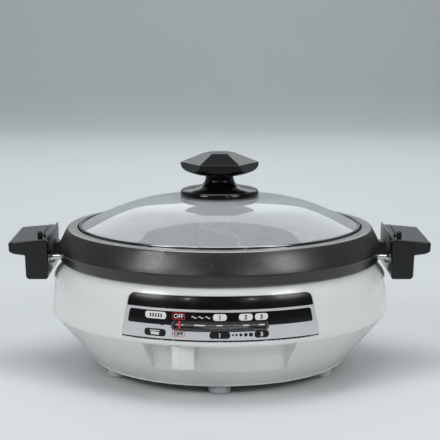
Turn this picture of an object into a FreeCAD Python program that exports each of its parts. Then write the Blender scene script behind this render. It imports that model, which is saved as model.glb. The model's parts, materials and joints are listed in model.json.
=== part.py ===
import FreeCAD, Part
import math
import os

V = FreeCAD.Vector
os.makedirs("parts", exist_ok=True)

# ---------------------------------------------------------------- driving dimensions, mm
RIM_Z = 139.0            # base rim height above the table
RIM_IN_R = 168.5         # base rim, inner edge
BASE_R = 207.0           # widest radius of the base
CREASE_Z = 69.5          # crease between upper wall and lower taper
LIP_R = 156.7            # bottom lip radius
LIP_Z = 10.8             # bottom lip height, which is the height of the feet
WALL = 3.0               # moulded wall thickness
FOOT_R = 13.0
FOOT_PCD_R = 140.0
PAN_FLOOR = 44.0         # upper face of the reflector dish floor
POT_BOTTOM = 60.0        # underside of the seated pot
POT_H = 113.2            # pot height, rim to underside
POT_RIM = POT_BOTTOM + POT_H
LID_Z = POT_RIM - 6.2    # underside of the seated lid band
HANDLE_HALF = 58.0       # half length of a handle block
HANDLE_OUT = 254.0       # outer edge of a handle
LEVER_REST = -12.5       # lever angle from the front centre line, degrees (negative is to the left)
LEVER_TRAVEL = 25.0
PANEL_Z0, PANEL_Z1 = 75.3, 125.4
SLOT_Z0, SLOT_Z1 = 87.8, 98.4
SLOT_X0, SLOT_X1 = -52.6, 53.4
GLASS_T = 4.0


# ---------------------------------------------------------------- helpers
def rz(p, z0=0.0):
    return V(p[0], 0, p[1] + z0)


def profile(segs, z0=0.0):
    """Closed wire in the XZ plane. segs: a point (r, z), or a list of points joined by one smooth spline."""
    edges = []
    first = None
    last = None
    for s in segs:
        if isinstance(s, list):
            pts = [rz(p, z0) for p in s]
            if last is None:
                first = pts[0]
            elif last.distanceToPoint(pts[0]) > 1e-6:
                edges.append(Part.makeLine(last, pts[0]))
            c = Part.BSplineCurve()
            c.interpolate(pts)
            edges.append(c.toShape())
            last = pts[-1]
        else:
            q = rz(s, z0)
            if last is None:
                first = q
            elif last.distanceToPoint(q) > 1e-6:
                edges.append(Part.makeLine(last, q))
            last = q
    if last.distanceToPoint(first) > 1e-6:
        edges.append(Part.makeLine(last, first))
    return Part.Wire(edges)


def rev(segs, a0=0.0, a1=360.0, z0=0.0):
    f = Part.Face(profile(segs, z0))
    if a0:
        f.rotate(V(0, 0, 0), V(0, 0, 1), a0)
    return f.revolve(V(0, 0, 0), V(0, 0, 1), a1 - a0)


def solid(s):
    if s.ShapeType == "Solid":
        return s
    if len(s.Solids) == 1:
        return s.Solids[0]
    return s


def box(x0, x1, y0, y1, z0, z1):
    return Part.makeBox(x1 - x0, y1 - y0, z1 - z0, V(x0, y0, z0))


def cyl(x, y, z0, z1, r):
    return Part.makeCylinder(r, z1 - z0, V(x, y, z0), V(0, 0, 1))


def rod(p, q, r):
    p, q = V(*p), V(*q)
    d = q.sub(p)
    return Part.makeCylinder(r, d.Length, p, d)


def rounded(pts, radii):
    """Closed wire through pts (3D vectors in one plane), with corner radii."""
    n = len(pts)
    edges = []
    ends = []
    for i in range(n):
        p0, p1, p2 = pts[i - 1], pts[i], pts[(i + 1) % n]
        r = radii[i] if isinstance(radii, (list, tuple)) else radii
        if r <= 0:
            ends.append((p1, p1, None))
            continue
        a = p0.sub(p1).normalize()
        b = p2.sub(p1).normalize()
        ang = a.getAngle(b)
        t = r / math.tan(ang / 2)
        s = p1.add(V(a).multiply(t))
        e = p1.add(V(b).multiply(t))
        bis = a.add(b).normalize()
        c = p1.add(V(bis).multiply(r / math.sin(ang / 2)))
        m = c.sub(V(bis).multiply(r))
        ends.append((s, e, m))
    for i in range(n):
        s, e, m = ends[i]
        if m is not None:
            edges.append(Part.Arc(s, m, e).toShape())
        nxt = ends[(i + 1) % n][0]
        if e.distanceToPoint(nxt) > 1e-6:
            edges.append(Part.makeLine(e, nxt))
    return Part.Wire(edges)


def prism_y(pts, y0, y1, radii=0):
    w = rounded([V(x, y0, z) for x, z in pts], radii)
    return Part.Face(w).extrude(V(0, y1 - y0, 0))


def prism_x(pts, x0, x1, radii=0):
    w = rounded([V(x0, y, z) for y, z in pts], radii)
    return Part.Face(w).extrude(V(x1 - x0, 0, 0))


def prism_z(pts, z0, z1, radii=0):
    w = rounded([V(x, y, z0) for x, y in pts], radii)
    return Part.Face(w).extrude(V(0, 0, z1 - z0))


def spin(s, deg):
    s = s.copy()
    s.rotate(V(0, 0, 0), V(0, 0, 1), deg)
    return s


def mirror_x(s):
    return s.mirror(V(0, 0, 0), V(1, 0, 0))


def offset(pts, d):
    """Points moved d to the left-hand normal side of the direction of travel."""
    out = []
    for i, p in enumerate(pts):
        a = pts[max(i - 1, 0)]
        b = pts[min(i + 1, len(pts) - 1)]
        tx, tz = b[0] - a[0], b[1] - a[1]
        n = math.hypot(tx, tz)
        out.append((p[0] - tz / n * d, p[1] + tx / n * d))
    return out


def fillet(s, r, pick):
    es = [e for e in s.Edges if pick(e)]
    if not es:
        return s
    try:
        t = s.makeFillet(r, es)
        if t.isValid() and t.Volume > 0.5 * s.Volume:
            return t
    except Exception:
        pass
    print("fillet skipped", r, len(es))
    return s


def export(name, s):
    if s.ShapeType == "Compound" and len(s.Solids) == 1:
        s = s.Solids[0]
    ok = s.isValid()
    print("%-22s %-9s solids %2d  valid %s  volume %.1f cm3" % (name, s.ShapeType, len(s.Solids), ok, s.Volume / 1000))
    s.exportStep("parts/%s.step" % name)


def many(shapes):
    return Part.makeCompound([solid(x) for x in shapes])


# ================================================================ BASE
# outer profile, going down from the flat rim to the bottom lip
UP = [(184.4, 139.0), (188.6, 137.2), (192.6, 133.6), (196.2, 129.0), (199.0, 124.0), (202.4, 113.5), (204.6, 103.0),
      (206.1, 90.0), (206.9, 80.0), (207.0, 72.6)]
LOW = [(204.7, 68.4), (200.2, 62.9), (193.6, 54.9), (187.0, 47.1), (174.7, 32.6), (163.9, 20.3), (157.6, 13.4)]
CREASE = (206.2, 70.0)
UP_IN = offset(UP[1:], -WALL)
LOW_IN = offset(LOW[:-1], -WALL)


def outer_r(z):
    """Radius of the outer wall at height z."""
    pts = UP + [CREASE] + LOW + [(LIP_R, LIP_Z)]
    for a, b in zip(pts, pts[1:]):
        if b[1] <= z <= a[1]:
            return a[0] + (b[0] - a[0]) * (a[1] - z) / max(a[1] - b[1], 1e-9)
    return BASE_R


outer = rev([(0, RIM_Z), UP, CREASE, LOW, (LIP_R, 12.2), (LIP_R, LIP_Z), (0, LIP_Z)])
CROWN = [(RIM_IN_R + 0.8, 135.2), (173.0, 136.5), (177.5, 137.9), (181.2, 138.7), (184.4, RIM_Z)]
shell = rev([(RIM_IN_R, 134.4), CROWN, UP, CREASE, LOW, (LIP_R, 12.2), (LIP_R, LIP_Z), (155.6, LIP_Z), (155.6, 14.5),
             LOW_IN[::-1], UP_IN[::-1], (183.5, 136.0), (171.5, 133.8), (171.5, 133.0), (RIM_IN_R, 133.0)])
inner_solid = rev([(0, 136.0), (183.5, 136.0), UP_IN, LOW_IN, (155.6, 14.5), (155.6, 11.2), (0, 11.2)])

# recess under the panel, in which the lever slides
BACK = [(173.4, 30.4), (179.6, 45.0), (183.2, 58.0), (186.0, CREASE_Z)]


def recess(grow):
    """The recess hollow, or with grow > 0 the block that its walls are cut from."""
    back = [(r - grow, z) for r, z in BACK]
    roof = [(BACK[-1][0] - grow, CREASE_Z + grow)] if grow else []
    ring = rev([back] + roof + [(225.0, CREASE_Z + grow), (225.0, 30.4)], -90 - 40, -90 + 40)
    # end facets: plane through the apex on the taper, the outer corner and the valley line
    A, B, C = V(76, -161.2, 36), V(86.7, -186.5, CREASE_Z), V(76.6, -169.6, CREASE_Z)
    n = B.sub(A).cross(C.sub(A)).normalize()
    if n.x < 0:
        n.multiply(-1)
    A = A.add(V(n).multiply(grow))

    def xat(y, z):
        return A.x - (n.y * (y - A.y) + n.z * (z - A.z)) / n.x
    y0, y1, za, zb = -232.0, -140.0, 28.0, CREASE_Z + 6
    P = {}
    for sx in (-1, 1):
        for y in (y0, y1):
            for z in (za, zb):
                P[sx, y, z] = V(sx * xat(y, z), y, z)
    quads = [[(-1, y0, za), (1, y0, za), (1, y1, za), (-1, y1, za)], [(-1, y0, zb), (-1, y1, zb), (1, y1, zb), (1, y0, zb)],
             [(-1, y0, za), (-1, y0, zb), (1, y0, zb), (1, y0, za)], [(-1, y1, za), (1, y1, za), (1, y1, zb), (-1, y1, zb)],
             [(-1, y0, za), (-1, y1, za), (-1, y1, zb), (-1, y0, zb)], [(1, y0, za), (1, y0, zb), (1, y1, zb), (1, y1, za)]]
    faces = [Part.Face(Part.makePolygon([P[k] for k in q] + [P[q[0]]])) for q in quads]
    wedge = Part.makeSolid(Part.makeShell(faces))
    if wedge.Volume < 0:
        wedge.reverse()
    return ring.common(wedge)


cav = recess(0.0)
pocket = recess(2.6).common(inner_solid.fuse(shell)).common(outer)

# side saddles: sloping platforms with a raised guard wall at the left and right
SAD = [(174.0, 156.0), (176.4, 153.6), (180.0, 147.3), (185.0, 139.9), (193.0, 130.6), (200.0, 122.6), (204.4, 116.0)]
SAD_IN = [(171.2, 153.0), (173.6, 151.4), (177.3, 145.2), (182.4, 137.6), (190.6, 128.3), (197.2, 120.4), (201.2, 113.4)]
SIDE_HALF = 68.0


def saddle():
    """Right-hand saddle about +X."""
    guard = rev([(165.0, 133.0), (165.0, 155.2), (165.8, 156.0), SAD, (204.4, 112.6), (SAD_IN[-1][0], 112.6), SAD_IN[::-1], (168.4, 153.0), (168.4, 133.0)], -18.4, 18.4)
    ends = []
    for s in (-1, 1):
        e = rev([(165.0, 133.0), (165.0, 155.2), (165.8, 156.0), SAD, (204.4, 112.6), (SAD_IN[-1][0], 112.6), (180.0, 133.5), (169.0, 133.5), (169.0, 133.0)],
                min(s * 14.6, s * 18.4), max(s * 14.6, s * 18.4))
        ends.append(e)
    g = guard.fuse(ends)
    # slanted end faces: the wall is longer at its inner edge and at its foot
    for s in (-1, 1):
        A = V(165.0 * math.cos(math.radians(17.0)), s * 165.0 * math.sin(math.radians(17.0)), 156.0)
        B = V(165.0 * math.cos(math.radians(18.0)), s * 165.0 * math.sin(math.radians(18.0)), 138.0)
        C = V(187.0 * math.cos(math.radians(13.6)), s * 187.0 * math.sin(math.radians(13.6)), 147.0)
        n = B.sub(A).cross(C.sub(A)).normalize()
        if n.y * s < 0:
            n.multiply(-1)
        cut = Part.makeBox(200, 200, 60, V(-100, -100, 0))
        cut.Placement = FreeCAD.Placement(A, FreeCAD.Rotation(V(0, 0, 1), n))
        cut = cut.common(rev([(150, 137.2), (187, 137.2), (187, 170), (150, 170)], -45, 45))
        g = g.cut(cut)
        # thin groove down the end face
        m = A.add(B).multiply(0.5).add(V(7.5, -s * 0.4, 0))
        d = B.sub(A).normalize()
        groove = Part.makeCylinder(1.5, 60, m.sub(V(d).multiply(13)), d)
        g = g.cut(groove.common(rev([(150, 137.2), (187, 137.2), (187, 170), (150, 170)], -45, 45)))
    floor = rev([(171.5, 136.6), (182.5, 136.6), (185.5, 135.6), (192.5, 128.8), (199.5, 121.0), (203.6, 115.0), (203.6, 112.0), (200.8, 112.0), (189.0, 127.2), (182.0, 133.4), (171.5, 133.0)], -21.5, 21.5)
    return g.fuse(floor)


sad = saddle()
side_cut = Part.Face(Part.Wire([
    (lambda c: (c.interpolate([V(150, -SIDE_HALF, 139.0), V(150, -65.6, 136.8), V(150, -63.2, 131.0), V(150, -61.2, 123.5), V(150, -58.4, 117.4), V(150, -54.5, 115.2)]), c.toShape())[1])(Part.BSplineCurve()),
    Part.makeLine(V(150, -54.5, 115.2), V(150, 54.5, 115.2)),
    (lambda c: (c.interpolate([V(150, 54.5, 115.2), V(150, 58.4, 117.4), V(150, 61.2, 123.5), V(150, 63.2, 131.0), V(150, 65.6, 136.8), V(150, SIDE_HALF, 139.0)]), c.toShape())[1])(Part.BSplineCurve()),
    Part.makeLine(V(150, SIDE_HALF, 139.0), V(150, SIDE_HALF, 142.0)),
    Part.makeLine(V(150, SIDE_HALF, 142.0), V(150, -SIDE_HALF, 142.0)),
    Part.makeLine(V(150, -SIDE_HALF, 142.0), V(150, -SIDE_HALF, 139.0))])).extrude(V(70, 0, 0))

shell = shell.cut(side_cut).cut(mirror_x(side_cut))
shell = shell.fuse([sad, mirror_x(sad)])
shell = shell.fuse(pocket)
shell = shell.cut(cav)

# panel plate, flush in the front wall, with a fine gap all round
PW0, PW1, PCX = 111.1, 102.0, 0.9      # half widths at the bottom and the top, and the middle
panel_pts = [(PCX - PW0, PANEL_Z0), (PCX + PW0, PANEL_Z0), (PCX + PW1, PANEL_Z1), (PCX - PW1, PANEL_Z1)]
g = 0.3
pocket_pts = [(PCX - PW0 - g, PANEL_Z0 - g), (PCX + PW0 + g, PANEL_Z0 - g), (PCX + PW1 + g, PANEL_Z1 + g), (PCX - PW1 - g, PANEL_Z1 + g)]
UPW = [p for p in UP if p[1] <= 137.5]
UPW_D = offset(UPW, -1.3)
under_panel = rev([(0, UPW_D[0][1]), UPW_D, (205.7, 72.0), (0, 72.0)])
front_band = rev([(150, 128), (215, 128), (215, 73), (150, 73)], -90 - 45, -90 + 45)
band = outer.common(front_band).cut(under_panel)
panel = band.common(prism_y(panel_pts, -215, -150, [4, 4, 7, 7]))
shell = shell.cut(band.common(prism_y(pocket_pts, -215, -150, [4, 4, 7, 7])))
slot_r = (SLOT_Z1 - SLOT_Z0) / 2 - 0.05
slot = prism_y([(SLOT_X0, SLOT_Z0), (SLOT_X1, SLOT_Z0), (SLOT_X1, SLOT_Z1), (SLOT_X0, SLOT_Z1)], -215, -180, slot_r)
panel = panel.cut(slot)
slot_w = rev([(185, SLOT_Z0 - 1.2), (215, SLOT_Z0 - 1.2), (215, SLOT_Z1 + 1.2), (185, SLOT_Z1 + 1.2)], -90 - 15.6, -90 + 15.7)
shell = shell.cut(slot_w)

# dark window plate behind the slot, with the slit that the pointer's stem runs in
W_OUT, W_IN = offset(UPW, -3.1), offset(UPW, -4.3)
w_o = rev([(0, W_OUT[0][1]), W_OUT, (203.9, 72.0), (0, 72.0)])
w_i = rev([(0, W_IN[0][1]), W_IN, (202.7, 71.0), (0, 71.0)])
window = w_o.cut(w_i).common(prism_y([(-57.5, 84.8), (58.3, 84.8), (58.3, 101.4), (-57.5, 101.4)], -215, -150, 3))
slit = rev([(180, 89.5), (215, 89.5), (215, 91.3), (180, 91.3)], -90 - 14.4, -90 + 14.4)
window = window.cut(slit)

# lamp in the panel
lamp_x, lamp_z, lamp_r = -63.8, 93.9, 2.4
lamp_y = -math.sqrt(outer_r(lamp_z) ** 2 - lamp_x ** 2)
lamp_dir = V(lamp_x, lamp_y, 0).normalize()
lamp_hole = Part.makeCylinder(lamp_r + 0.05, 10, V(lamp_x, lamp_y, lamp_z).sub(V(lamp_dir).multiply(8)), lamp_dir)
lamp = Part.makeCylinder(lamp_r, 6.4, V(lamp_x, lamp_y, lamp_z).sub(V(lamp_dir).multiply(6.6)), lamp_dir)
lamp = fillet(lamp, 0.8, lambda e: abs(e.Length - 2 * math.pi * lamp_r) < 0.1 and (e.CenterOfMass.sub(V(lamp_x, lamp_y, lamp_z))).Length < 1.0)
panel = panel.cut(lamp_hole)
shell = shell.cut(lamp_hole)

# slot in the recess wall for the lever's neck
NECK_Z0, NECK_Z1 = 65.2, 67.4
neck_slot = rev([(165, NECK_Z0 - 0.6), (192, NECK_Z0 - 0.6), (192, NECK_Z1 + 0.6), (165, NECK_Z1 + 0.6)], -90 - 14.8, -90 + 14.8)
shell = shell.cut(neck_slot)

# socket opening at the back
INLET = (-25.0, 25.0, 76.0, 104.0)
shell = shell.cut(prism_y([(INLET[0], INLET[2]), (INLET[1], INLET[2]), (INLET[1], INLET[3]), (INLET[0], INLET[3])], 190, 215, 3))

# screw bosses inside the shell
SCREW_A = [0, 60, 120, 180, 240, 300]
SCREW_R = 149.5
bosses = []
for a in SCREW_A:
    b = cyl(SCREW_R, 0, 13.6, 34, 5.0).fuse(box(SCREW_R, 175, -1.5, 1.5, 13.6, 34).common(inner_solid.fuse(shell.common(box(140, 210, -3, 3, 5, 40)))))
    b = b.cut(cyl(SCREW_R, 0, 5, 26, 1.9))
    bosses.append(spin(b, a))
shell = shell.fuse(bosses)
shell = solid(shell)
export("base_shell", shell)
export("control_panel", panel)
export("pointer_window", window)
export("indicator_lamp", lamp)

# bottom cover with vents
plate = rev([(0, LIP_Z), (155.3, LIP_Z), (155.3, 13.4), (0, 13.4)])
cuts = []
for k, x in enumerate(range(-45, 46, 9)):
    h = 34 - abs(x) * 0.25
    cuts.append(prism_z([(x - 1.8, -h), (x + 1.8, -h), (x + 1.8, h), (x - 1.8, h)], 5, 20, 1.7))
plate = plate.cut(cuts)
for a in SCREW_A:
    plate = plate.cut(spin(cyl(SCREW_R, 0, 5, 20, 2.3), a))
export("bottom_plate", plate)

# six feet
foot = rev([(0, 0), (FOOT_R - 2.2, 0), [(FOOT_R - 2.2, 0), (FOOT_R - 0.7, 0.7), (FOOT_R, 2.4)], (FOOT_R, 6.5), (FOOT_R - 1.2, LIP_Z), (0, LIP_Z)])
feet = []
for a in (-90, -30, 30, 90, 150, 210):
    f = foot.copy()
    f.translate(V(FOOT_PCD_R, 0, 0))
    feet.append(spin(f, a))
export("base_feet", many(feet))

# screws through the cover into the bosses
screws = []
for a in SCREW_A:
    s = cyl(SCREW_R, 0, 9.0, LIP_Z, 4.0).fuse(cyl(SCREW_R, 0, LIP_Z, 24, 1.85)).cut(box(SCREW_R - 2.6, SCREW_R + 2.6, -0.5, 0.5, 8, 9.8)).cut(box(SCREW_R - 0.5, SCREW_R + 0.5, -2.6, 2.6, 8, 9.8))
    screws.append(spin(s, a))
export("base_screws", many(screws))

# grey well wall, higher behind the guard walls
T = 1.2
low_wall = rev([(171.4, 133.0), (171.4, 133.0 - T), (164.7, 133.0 - T), (164.7, 108.0), (160.9, 108.0), (160.9, 109.2), (163.5, 109.2), (163.5, 133.0)])
high = rev([(163.5, 131.0), (164.7, 131.0), (164.7, 153.5), (163.5, 153.5)], -16.8, 16.8)
liner = low_wall.fuse([high, spin(high, 180)])
export("inner_liner", liner)

# bright dish
DISH = [(159.2, 110.4), (158.8, 104.0), (157.4, 88.0), (155.9, 72.0), (154.2, 60.0), (150.6, 51.0), (143.0, 45.4), (134.0, PAN_FLOOR)]
DISH_O = offset(DISH, T)
DISH_O = [(r, z) for r, z in DISH_O]
DISH_O[0] = (DISH[0][0] + T, 109.2)
DISH_O[-1] = (134.0, PAN_FLOOR - T)
dish = rev([(163.0, 109.2), (163.0, 110.4), DISH, (0, PAN_FLOOR), (0, PAN_FLOOR - T), DISH_O[::-1]])
LEG_R = 105.0
POST_R = 85.0
LEG_A = 7.0
LEGS = [(-1) ** k * LEG_A for k in range(2)]
hole = []
leg_xy = []
for s in (-1, 1):
    a = math.radians(90 + s * LEG_A)
    leg_xy.append((LEG_R * math.cos(a), LEG_R * math.sin(a)))
for x, y in leg_xy:
    dish = dish.cut(cyl(x, y, 30, 60, 7.0))
dish = dish.cut(cyl(0, 0, 30, 60, 9.0))
for a in (30, 150, 270):
    dish = dish.cut(spin(cyl(POST_R, 0, 30, 60, 1.9), a))
export("reflector_pan", dish)

# posts that carry the dish on the bottom cover
posts = []
for a in (30, 150, 270):
    p = cyl(POST_R, 0, 13.4, PAN_FLOOR - T, 5.5).cut(cyl(POST_R, 0, 34, 60, 1.6))
    posts.append(spin(p, a))
export("pan_posts", many(posts))
pscrews = []
for a in (30, 150, 270):
    s = cyl(POST_R, 0, PAN_FLOOR, PAN_FLOOR + 1.8, 3.4).fuse(cyl(POST_R, 0, 34, PAN_FLOOR, 1.6)).cut(box(POST_R - 3, POST_R + 3, -0.45, 0.45, PAN_FLOOR + 0.9, PAN_FLOOR + 3))
    pscrews.append(spin(s, a))
export("pan_screws", many(pscrews))

# sheathed heater ring with two turned-down cold ends
TUBE = 4.4
RING_Z = 54.6
DROP = 9.0
ring = Part.makeTorus(LEG_R, TUBE, V(0, 0, RING_Z), V(0, 0, 1), 0, 360)
da = math.degrees(DROP / LEG_R)
face = Part.Face(Part.Wire([Part.makeCircle(TUBE, V(LEG_R, 0, RING_Z), V(0, 1, 0))]))
face.rotate(V(0, 0, 0), V(0, 0, 1), 90 + LEG_A + da)
heater = face.revolve(V(0, 0, 0), V(0, 0, 1), 360 - 2 * (LEG_A + da))
parts_h = [heater]
for s in (-1, 1):
    a = math.radians(90 + s * (LEG_A + da))
    c = V(LEG_R * math.cos(a), LEG_R * math.sin(a), RING_Z)
    t = V(-math.sin(a) * -s, math.cos(a) * -s, 0)           # towards the gap
    pivot = c.add(V(0, 0, -DROP))
    f = Part.Face(Part.Wire([Part.makeCircle(TUBE, c, t)]))
    axis = V(0, 0, 1).cross(t).normalize()
    elbow = f.revolve(pivot, axis, 90)
    end = pivot.add(V(t).multiply(DROP))
    leg = Part.makeCylinder(TUBE, pivot.z - 33.0, V(end.x, end.y, 33.0), V(0, 0, 1))
    pin = Part.makeCylinder(1.4, 8, V(end.x, end.y, 25.5), V(0, 0, 1))
    parts_h += [elbow, leg, pin]
    leg_xy[0 if s < 0 else 1] = (end.x, end.y)
heater = parts_h[0].fuse(parts_h[1:])
export("heating_element", heater)

# ceramic bushes round the cold ends
bushes = []
for x, y in leg_xy:
    b = cyl(x, y, 36.0, PAN_FLOOR + 2.0, 6.6).fuse(cyl(x, y, 36.0, PAN_FLOOR - T, 9.0)).cut(cyl(x, y, 30, 60, TUBE))
    bushes.append(b)
export("element_bushes", many(bushes))

# three saddles that carry the ring
sup = []
for a in (210, 330, 90 - 38):
    s = box(97, 113, -4, 4, PAN_FLOOR, RING_Z).cut(Part.makeTorus(LEG_R, TUBE, V(0, 0, RING_Z), V(0, 0, 1), 0, 360))
    sup.append(spin(s, a))
export("heater_supports", many(sup))

# sprung sensor in the middle
SENSOR_TOP = POT_BOTTOM - 0.4
guide = cyl(0, 0, 30.0, PAN_FLOOR + 2.2, 8.9).fuse(cyl(0, 0, PAN_FLOOR, PAN_FLOOR + 2.2, 15.0)).cut(cyl(0, 0, 20, 60, 4.2))
export("sensor_guide", guide)
plunger = rev([(0, SENSOR_TOP), (11.0, SENSOR_TOP), [(11.0, SENSOR_TOP), (12.3, SENSOR_TOP - 0.5), (12.8, SENSOR_TOP - 1.8)], (12.8, SENSOR_TOP - 3.4), (4.14, SENSOR_TOP - 3.4), (4.14, 24.0), (5.6, 24.0), (5.6, 22.6), (0, 22.6)])
export("sensor_plunger", plunger)
z_a, z_b = PAN_FLOOR + 2.2 + 0.75, SENSOR_TOP - 3.4 - 0.75
helix = Part.makeHelix((z_b - z_a) / 3.5, z_b - z_a, 7.6)
circ = Part.Wire([Part.makeCircle(0.7, V(7.6, 0, 0), V(0, 1, 0))])
spring = Part.Wire(helix.Edges).makePipeShell([circ], True, True)
spring.translate(V(0, 0, z_a))
export("sensor_spring", spring)

# thermostat on the cover, under the dish
thermo = box(-24, 24, -140, -110, 13.4, 34.0)
thermo = fillet(thermo, 2.0, lambda e: abs(e.BoundBox.ZLength) > 15)
thermo = thermo.fuse([cyl(0, -125, 34.0, 36.2, 9.0), box(-20, -14, -110.5, -105, 18, 22), box(14, 20, -110.5, -105, 18, 22)])
export("thermostat_body", thermo)
bracket = box(-26.4, -24, -138, -112, 13.4, 30).fuse([box(-37, -24, -138, -112, 13.4, 15.4)])
bracket = bracket.cut([cyl(-31.5, -132, 10, 20, 2.0), cyl(-31.5, -118, 10, 20, 2.0)])
export("thermostat_bracket", bracket)
fuse_body = rod((70, -40, 37.0), (70, -14, 37.0), 4.2).fuse([rod((70, -46, 37.0), (70, -40, 37.0), 1.2), rod((70, -14, 37.0), (70, -8, 37.0), 1.2)])
fuse_body = fuse_body.fuse(box(66, 74, -31, -23, 40.5, PAN_FLOOR - T))
export("thermal_fuse", fuse_body)
block = box(-24, 24, 116, 134, 13.4, 28)
for x in (-16, 0, 16):
    block = block.cut(cyl(x, 125, 20, 30, 3.2))
block = block.cut([box(-8.6, -7.4, 114, 136, 18, 30), box(7.4, 8.6, 114, 136, 18, 30)])
export("terminal_block", block)

# inlet at the back
IX0, IX1, IZ0, IZ1 = INLET
house = prism_y([(IX0 + 0.6, IZ0 + 0.6), (IX1 - 0.6, IZ0 + 0.6), (IX1 - 0.6, IZ1 - 0.6), (IX0 + 0.6, IZ1 - 0.6)], 172, 204.2, 2.4)
house = house.cut(prism_y([(IX0 + 4, IZ0 + 4), (IX1 - 4, IZ0 + 4), (IX1 - 4, IZ1 - 4), (IX0 + 4, IZ1 - 4)], 177, 210, 2.0))
house = house.fuse(box(IX0 - 4, IX1 + 4, 191.5, 195.0, IZ0 - 4, IZ1 + 4).cut(box(IX0 + 2, IX1 - 2, 190, 206, IZ0 + 2, IZ1 - 2)))
for x in (-9.5, 9.5):
    house = house.cut(rod((x, 165, 90), (x, 180, 90), 2.5))
export("power_inlet", house)
pins = []
for x in (-9.5, 9.5):
    p = rod((x, 165, 90), (x, 196, 90), 2.5)
    p = fillet(p, 1.2, lambda e: e.BoundBox.YMin > 195)
    pins.append(p)
export("inlet_pins", many(pins))

# arc rail that the lever's carriage runs on
rail = rev([(160.6, 46.0), (164.0, 46.0), (164.0, 51.6), (160.6, 51.6)], -90 - 19, -90 + 19)
legs = []
for a in (-90 - 18.2, -90 + 18.2):
    legs.append(spin(box(160.8, 163.6, -3, 3, 27.0, 46.4), a))
    legs.append(spin(box(144.5, 163.6, -3, 3, 27.0, 29.4), a))
    legs.append(spin(box(144.5, 147.5, -3, 3, 13.4, 29.4), a))
rail = rail.fuse(legs)
export("lever_track", rail)

# internal leads
leads = []


def lead(pts, r=1.3):
    s = None
    for a, b in zip(pts, pts[1:]):
        t = rod(a, b, r)
        s = t if s is None else s.fuse(t)
        s = s.fuse(Part.makeSphere(r, V(*b)))
    return solid(s)


leads.append(lead([(-9.5, 162.6, 90), (-9.5, 166, 60), (-12, 164, 34), (-16, 148, 22), (-16, 135.4, 22)]))
leads.append(lead([(9.5, 162.6, 90), (9.5, 166, 60), (12, 164, 34), (16, 148, 22), (16, 135.4, 22)]))
leads.append(lead([(-16, 114.6, 20), (-40, 95, 20), (-70, 20, 20), (-75, -50, 20), (-40, -84, 20), (-17, -103.4, 20)]))
leads.append(lead([(17, -103.4, 20), (40, -72, 24), (66, -56, 36), (70, -47.6, 37)]))
leads.append(lead([(70, -6.6, 37), (66, 20, 30), (52, 60, 24), (30, 92, 22), (max(x for x, y in leg_xy), 104.4, 23.6)]))
leads.append(lead([(0, 114.6, 22), (-8, 111, 22), (min(x for x, y in leg_xy), 104.6, 23.6)]))
export("internal_wiring", many(leads))

# ================================================================ LEVER (turns about the vertical axis of the base)


def polar(t, r):
    """A point t mm along the arc from the front centre line (to the right) and r mm from the axis."""
    return (t, -r)


lever_pts = [polar(-14.4, 188.6), polar(-9.0, 203.4), polar(-8.0, 204.2), polar(-1.2, 204.4), polar(-0.2, 203.2), polar(14.4, 197.0), polar(14.4, 188.6)]
lever = prism_z(lever_pts, 41.6, CREASE_Z - 0.9, [0.8, 1.0, 0.8, 0.8, 1.0, 2.0, 0.8])
lever = lever.cut(box(-20, -0.8, -230, -196, 30, 43.4))
lever = lever.fuse(box(-5.0, 5.0, -190.0, -169.4, NECK_Z0, NECK_Z1))
lever = fillet(lever, 1.0, lambda e: abs(e.CenterOfMass.z - 41.6) < 0.05 and e.CenterOfMass.y < -189.5)
carriage = box(-7.0, 7.0, -169.4, -164.8, 34.0, 92.9)
carriage = carriage.fuse([box(-7.0, 7.0, -165.2, -160.9, 52.2, 55.0), box(-5, 5, -199.0, -169.0, 88.1, 92.7),
                          box(-5.0, 5.0, -168.0, -122.0, 37.0, 40.0)])
carriage = carriage.cut(box(-8, 8, -164.9, -150, 41, 52.2))
needle_r = outer_r(93.1) - 1.9
needle = box(-1.2, 1.2, -(needle_r + 0.9), -needle_r, 89.0, 97.6).fuse(box(-1.0, 1.0, -needle_r - 0.1, -199.0, 89.8, 91.0))
needle = needle.cut(box(-3, 3, -230, -1, 60, 80))
export("temperature_lever", spin(lever, LEVER_REST))
export("lever_carriage", spin(carriage, LEVER_REST))
export("pointer", spin(needle, LEVER_REST))

# ================================================================ POT, heights from its rim
Z = POT_RIM
pot = rev([
    (175.2, -0.5), (175.6, 0.0), (185.6, 0.0),
    [(185.6, 0.0), (187.5, -0.9), (189.4, -4.0), (192.9, -10.9), (196.5, -18.3), (198.9, -24.8)],
    (199.0, -26.2), (197.9, -27.4), (196.5, -37.8), (195.6, -38.4), (193.6, -38.4),
    (194.6, -27.6),
    [(194.6, -27.6), (192.8, -20.6), (189.4, -13.8), (185.6, -6.6), (183.0, -4.6)],
    (179.5, -4.6), (178.2, -9.0), (176.4, -10.6),
    (173.6, -10.9), (163.4, -16.0),
    [(163.4, -16.0), (161.2, -18.6), (159.6, -27.0), (158.1, -38.0), (156.9, -60.0), (155.0, -80.0), (152.4, -95.0), (150.2, -100.4)],
    (147.4, -100.4), [(147.4, -100.4), (144.9, -106.0), (140.0, -110.2)], (0, -110.2), (0, -106.2), (133.0, -106.2),
    [(133.0, -106.2), (140.5, -104.0), (145.5, -98.0), (148.4, -90.0), (150.8, -80.0), (153.0, -60.0), (154.4, -38.0), (155.9, -27.0), (157.2, -18.6), (159.0, -14.4)],
    (169.2, -8.6), (170.2, -6.5), (174.4, -6.5)], z0=Z)

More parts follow.
